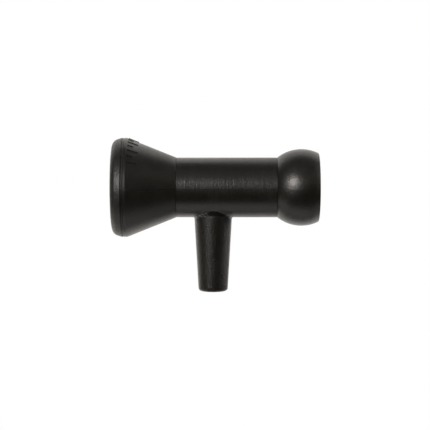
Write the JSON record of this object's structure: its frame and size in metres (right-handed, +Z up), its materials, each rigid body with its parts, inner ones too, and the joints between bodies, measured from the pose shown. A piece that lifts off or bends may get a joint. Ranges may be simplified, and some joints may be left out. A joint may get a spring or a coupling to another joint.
{
  "type": "fire hose nozzle",
  "caption": "Black hand nozzle with a flared twist bell, straight barrel, truncated ball inlet and tapered side grip.",
  "frame": {"origin": "centre of the inlet ball's sphere, on the waterway's axis", "axes": "+X along the waterway towards the hose, so the water leaves at -X; +Z up, with the grip hanging along -Z"},
  "size_m": [0.2166, 0.104, 0.1613],
  "materials": {
    "ball_plastic": "satin black, moulded",
    "barrel_plastic": "satin black, moulded, with faint turning marks",
    "bell_plastic": "satin black, moulded",
    "grip_plastic": "satin black, fine grained",
    "plug_plastic": "satin black",
    "bumper_rubber": "smooth black",
    "seal_rubber": "smooth black",
    "seat_rubber": "dull dark grey",
    "spinner_plastic": "satin black",
    "head_alloy": "hard anodised, dark grey",
    "sleeve_alloy": "hard anodised, grey",
    "spider_alloy": "bare, turned",
    "steel": "stainless",
    "ball_steel": "polished stainless",
    "brass": "bare"
  },
  "bodies": {
    "body": {"barrel": "barrel_plastic", "race_plug": "steel", "swivel_balls": "ball_steel", "nose_seals": "seal_rubber", "dust_seal": "seal_rubber", "thrust_washer": "brass", "retaining_ring": "steel", "spider": "spider_alloy", "spider_ring": "steel", "stem": "steel", "stem_nut": "steel", "deflector_head": "head_alloy", "seat_ring": "seat_rubber", "deflector_screw": "steel", "grip": "grip_plastic", "grip_insert": "brass", "grip_washer": "steel", "grip_screw": "steel", "grip_plug": "plug_plastic"},
    "inlet": {"inlet_ball": "ball_plastic", "swivel_seals": "seal_rubber", "inlet_strainer": "steel", "strainer_ring": "steel"},
    "twist_bell": {"bell": "bell_plastic", "bumper": "bumper_rubber"},
    "sleeve": {"flow_sleeve": "sleeve_alloy", "cam_pins": "steel"},
    "spinning_teeth": {"spinner": "spinner_plastic"}
  },
  "joints": [
    {"name": "bell_turn", "type": "hinge", "parent": "body", "child": "twist_bell", "pos_m": [-0.15, 0, 0], "axis": [1, 0, 0], "range_deg": [0, 110]},
    {"name": "sleeve_slide", "type": "slide", "parent": "body", "child": "sleeve", "axis": [1, 0, 0], "range_m": [0, 0.01]},
    {"name": "inlet_swivel", "type": "hinge", "parent": "body", "child": "inlet", "pos_m": [-0.036, 0, 0], "axis": [1, 0, 0], "continuous": true},
    {"name": "teeth_spin", "type": "hinge", "parent": "twist_bell", "child": "spinning_teeth", "pos_m": [-0.187, 0, 0], "axis": [1, 0, 0], "continuous": true}
  ],
  "couplings": [
    {"joint": "sleeve_slide", "follows": "bell_turn", "m_per_rad": 0.0052085}
  ]
}
